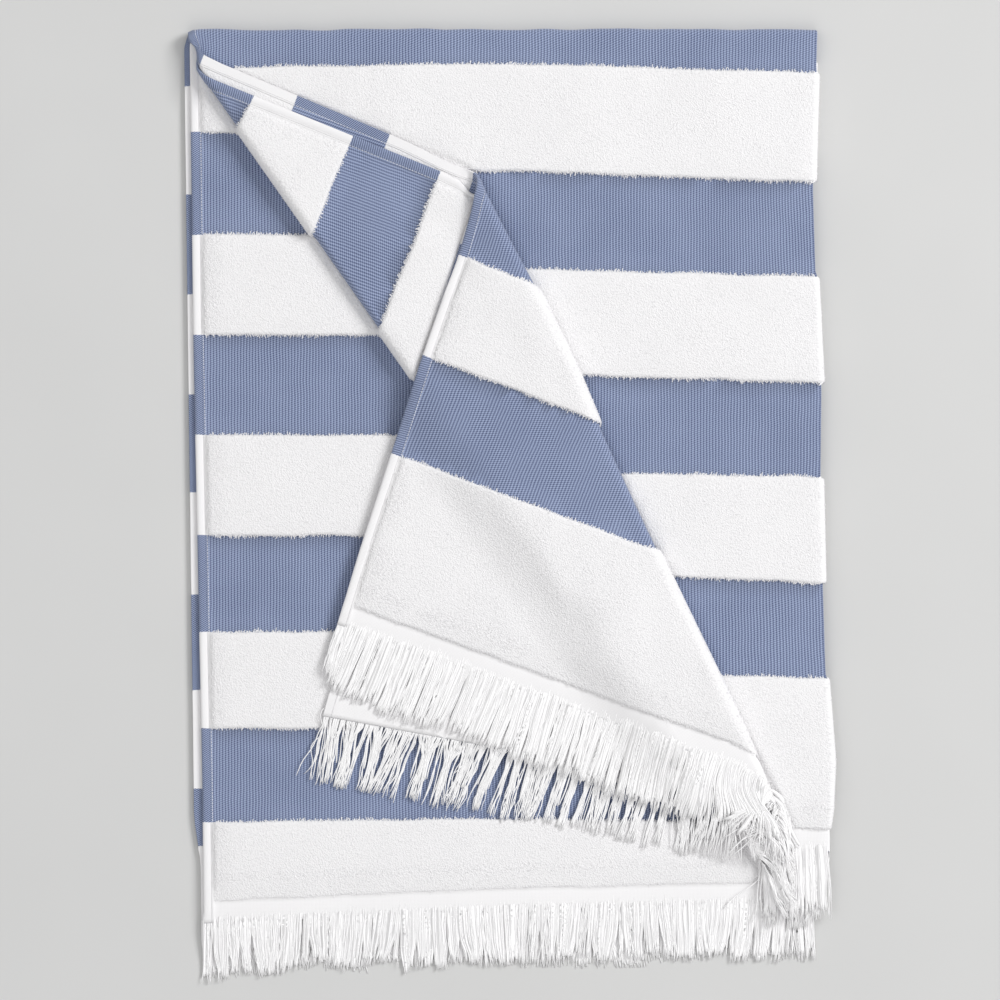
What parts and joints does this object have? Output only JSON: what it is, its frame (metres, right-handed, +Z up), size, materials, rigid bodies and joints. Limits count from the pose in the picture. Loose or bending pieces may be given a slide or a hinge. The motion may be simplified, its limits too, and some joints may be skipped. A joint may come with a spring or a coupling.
{
  "type": "beach towel",
  "caption": "Fringed beach towel with raised terry stripes on flat weave, folded lengthwise and across, its corner turned over and back so that its fringe fans out.",
  "frame": {"origin": "centre of the underside of the folded towel's box, on the surface it lies on", "axes": "+Z up, +X along the stripes towards the lengthwise fold, +Y towards the fold across, away from the fringed ends"},
  "size_m": [0.5184, 0.7618, 0.0308],
  "materials": {
    "cloth": "white terry stripes and blue ribbed flat weave, matt",
    "fringe_upper_end": "loose white cotton yarn",
    "fringe_lower_end": "loose white cotton yarn"
  },
  "bodies": {
    "root": {"cloth": "cloth", "fringe_upper_end": "fringe_upper_end", "fringe_lower_end": "fringe_lower_end"}
  },
  "joints": []
}
